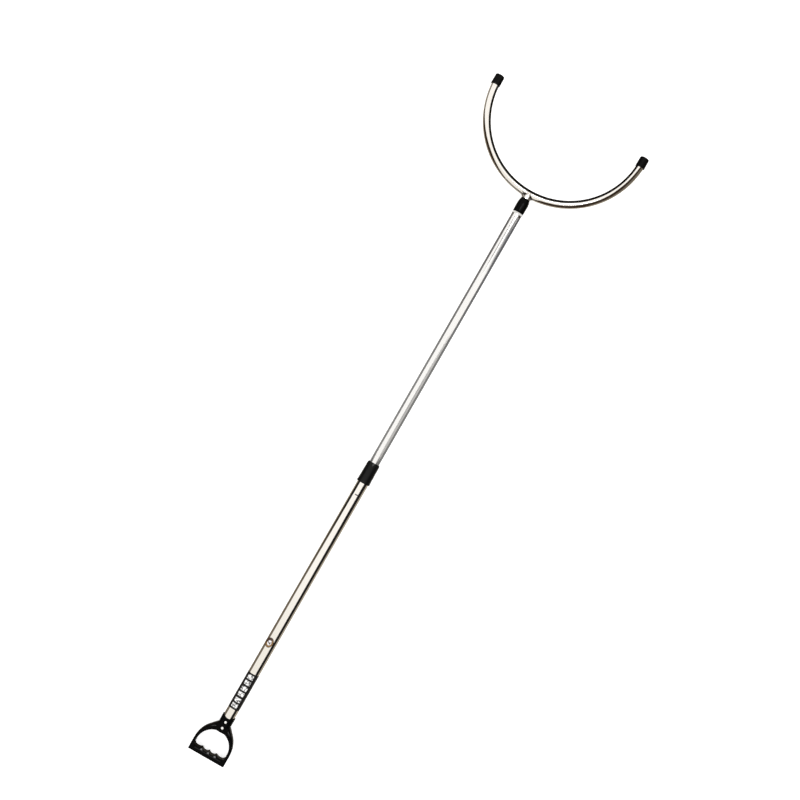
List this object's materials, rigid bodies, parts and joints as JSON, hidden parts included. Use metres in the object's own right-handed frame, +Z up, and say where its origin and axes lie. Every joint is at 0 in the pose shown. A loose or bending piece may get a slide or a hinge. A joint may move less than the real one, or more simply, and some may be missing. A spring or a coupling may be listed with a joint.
{
  "type": "telescopic restraint fork",
  "caption": "Two-section telescopic steel pole with a D-handle, a twist lock inside the tubes and a wide C-shaped tube head with rubber-capped tips.",
  "frame": {"origin": "under the middle of the extended object, on the surface that it lies on", "axes": "+X along the pole from the handle towards the fork, +Y to the fork's left tip, +Z up, square to the fork's plane"},
  "size_m": [1.993, 0.4764, 0.038],
  "materials": {
    "handle_plastic": "moulded, semi-gloss black",
    "rivet_steel": "bright zinc-plated steel",
    "polished_steel": "mirror-polished stainless steel",
    "label_print": "printed vinyl film, black with white blocks",
    "badge_print": "printed vinyl film, gold and brown",
    "dark_steel": "blackened steel",
    "ferrule_plastic": "moulded, fine-grained black",
    "nylon": "natural nylon",
    "lock_steel": "zinc-plated steel",
    "lock_alloy": "turned aluminium",
    "satin_steel": "satin-drawn stainless steel",
    "cap_plastic": "moulded, glossy black",
    "weld_metal": "heat-tinted weld metal",
    "tip_rubber": "soft black rubber"
  },
  "bodies": {
    "lower_pole": {"d_handle": "handle_plastic", "handle_rivets": "rivet_steel", "lower_tube": "polished_steel", "label_band": "label_print", "oval_badge": "badge_print", "stop_key": "dark_steel", "lower_ferrule": "ferrule_plastic", "mouth_bush": "nylon"},
    "expander": {"expander_sleeve": "nylon"},
    "wedge": {"cone_nut": "lock_steel"},
    "upper_pole": {"upper_tube": "satin_steel", "guide_ring": "nylon", "lock_core": "lock_alloy", "lock_stud": "lock_steel", "thrust_washer": "lock_steel", "end_nut": "lock_steel", "neck_ring": "nylon", "top_ferrule": "cap_plastic", "reducer_bush": "nylon", "neck_pin": "rivet_steel", "stem_tube": "polished_steel", "fork_tube": "polished_steel", "weld_bead": "weld_metal", "end_cap_left": "tip_rubber", "end_cap_right": "tip_rubber"}
  },
  "joints": [
    {"name": "telescope", "type": "slide", "parent": "lower_pole", "child": "expander", "axis": [1, 0, 0], "range_m": [-0.6, 0]},
    {"name": "twist_lock", "type": "hinge", "parent": "expander", "child": "upper_pole", "pos_m": [0, 0, 0.019], "axis": [1, 0, 0], "range_deg": [0, 180]},
    {"name": "wedge_travel", "type": "slide", "parent": "expander", "child": "wedge", "axis": [1, 0, 0], "range_m": [-0.00128, 0]}
  ],
  "couplings": [
    {"joint": "wedge_travel", "follows": "twist_lock", "m_per_rad": -0.00039789}
  ]
}
